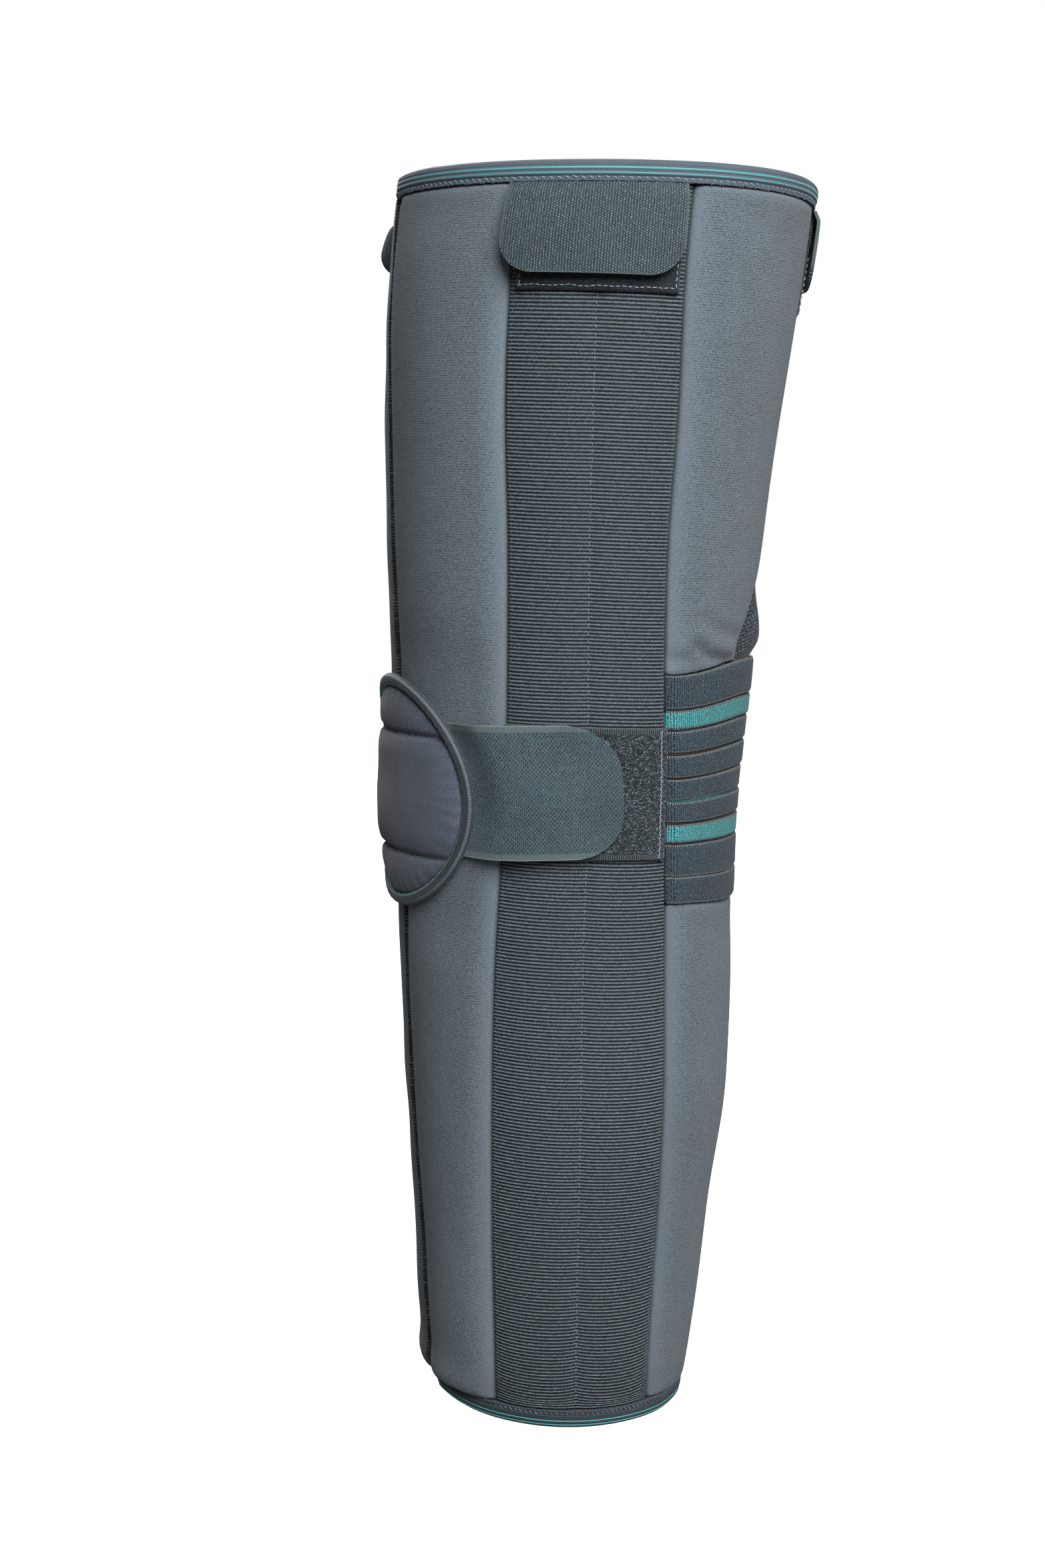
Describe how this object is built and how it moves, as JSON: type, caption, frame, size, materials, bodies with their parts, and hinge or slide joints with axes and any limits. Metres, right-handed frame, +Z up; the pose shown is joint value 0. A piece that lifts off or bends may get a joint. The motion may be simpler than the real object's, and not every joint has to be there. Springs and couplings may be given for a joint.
{
  "type": "knee immobilizer",
  "caption": "Long padded knee immobilizer, a tapering wrap closed down the front, with stay channels at its sides, a round knee pad, straps, folded flaps and popliteal elastic.",
  "frame": {"origin": "centre of the lower rim, on the surface that it stands on", "axes": "+Z up the leg from the lower rim to the upper rim, -Y to the front (the knee pad's side), +X to the outer (lateral) side"},
  "size_m": [0.186, 0.1795, 0.5],
  "materials": {
    "panel": "brushed loop knit over foam",
    "webbing": "ribbed grosgrain webbing",
    "knit": "dark stretch knit",
    "binding": "ribbed elastic binding with two teal lines",
    "elastic": "woven elastic in grey and teal strips",
    "pad": "smooth charcoal knit over foam",
    "hook_tape": "dotted woven back of hook tape",
    "loop": "fuzzy loop pile"
  },
  "bodies": {
    "root": {"top_binding": "binding", "bottom_binding": "binding", "front_panel": "panel", "closure_strip": "knit", "thigh_panel_lateral": "panel", "thigh_panel_medial": "panel", "back_strip_thigh": "knit", "calf_panel_lateral": "panel", "calf_panel_medial": "panel", "back_strip_calf": "knit", "popliteal_panel": "knit", "popliteal_elastic": "elastic", "knee_pad": "pad", "knee_pad_binding": "binding", "channel_lateral": "webbing", "channel_medial": "webbing", "knee_loop_lateral": "loop", "knee_loop_medial": "loop", "strap_lateral": "hook_tape", "strap_medial": "hook_tape", "top_loop_lateral": "loop", "top_loop_medial": "loop", "top_loop_back": "loop", "flap_lateral": "hook_tape", "flap_medial": "hook_tape", "flap_back": "hook_tape"}
  },
  "joints": []
}
